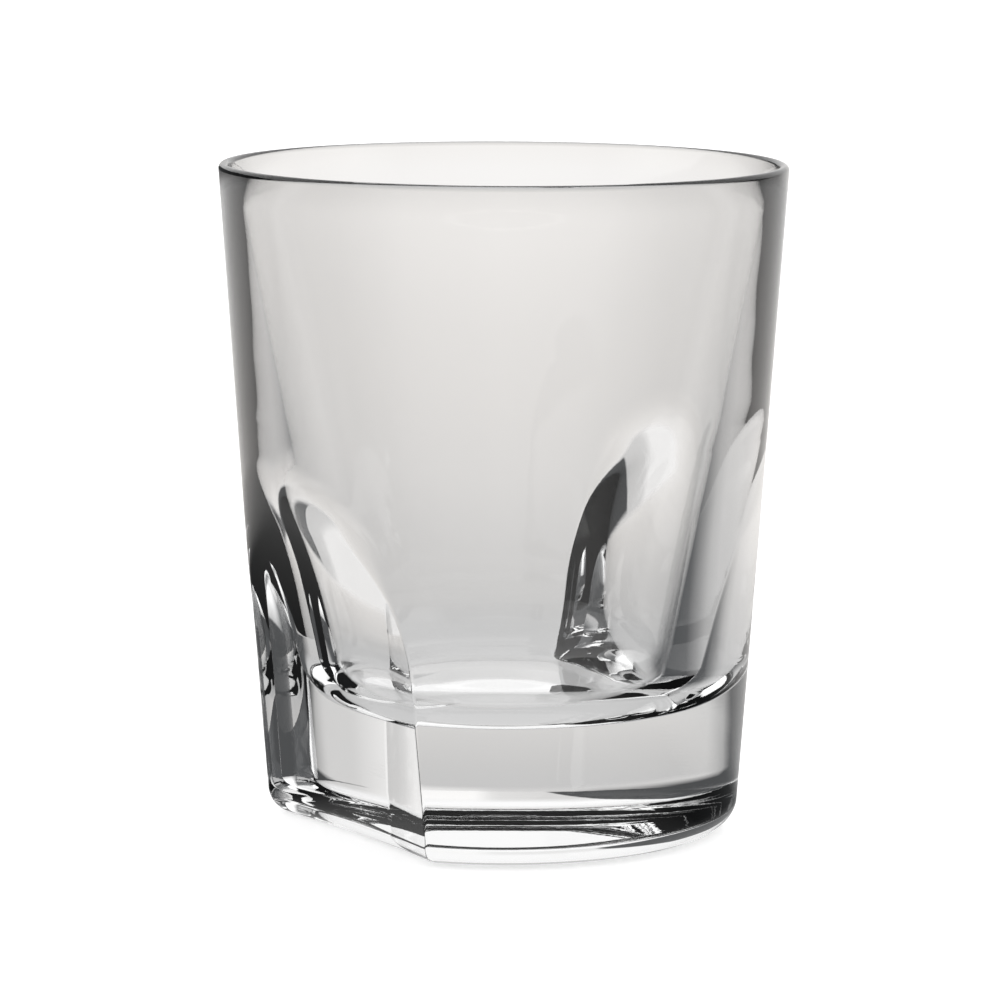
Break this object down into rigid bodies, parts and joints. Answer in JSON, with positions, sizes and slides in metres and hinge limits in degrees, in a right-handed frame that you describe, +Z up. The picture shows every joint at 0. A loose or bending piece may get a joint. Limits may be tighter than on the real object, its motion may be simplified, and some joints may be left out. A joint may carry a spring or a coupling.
{
  "type": "whiskey tumbler",
  "caption": "Clear glass whiskey tumbler with a thick solid foot, flaring round wall, thin rounded rim and arched scoops cut into opposite sides of the lower wall.",
  "frame": {"origin": "centre of the glass on the table plane it stands on", "axes": "+Z up along the axis of the cavity; -Y is the front, towards the viewer, with one scoop to the front left"},
  "size_m": [0.0818, 0.0818, 0.0962],
  "materials": {
    "clear_glass": "clear, fire-polished, high gloss"
  },
  "bodies": {
    "root": {"glass_body": "clear_glass"}
  },
  "joints": []
}
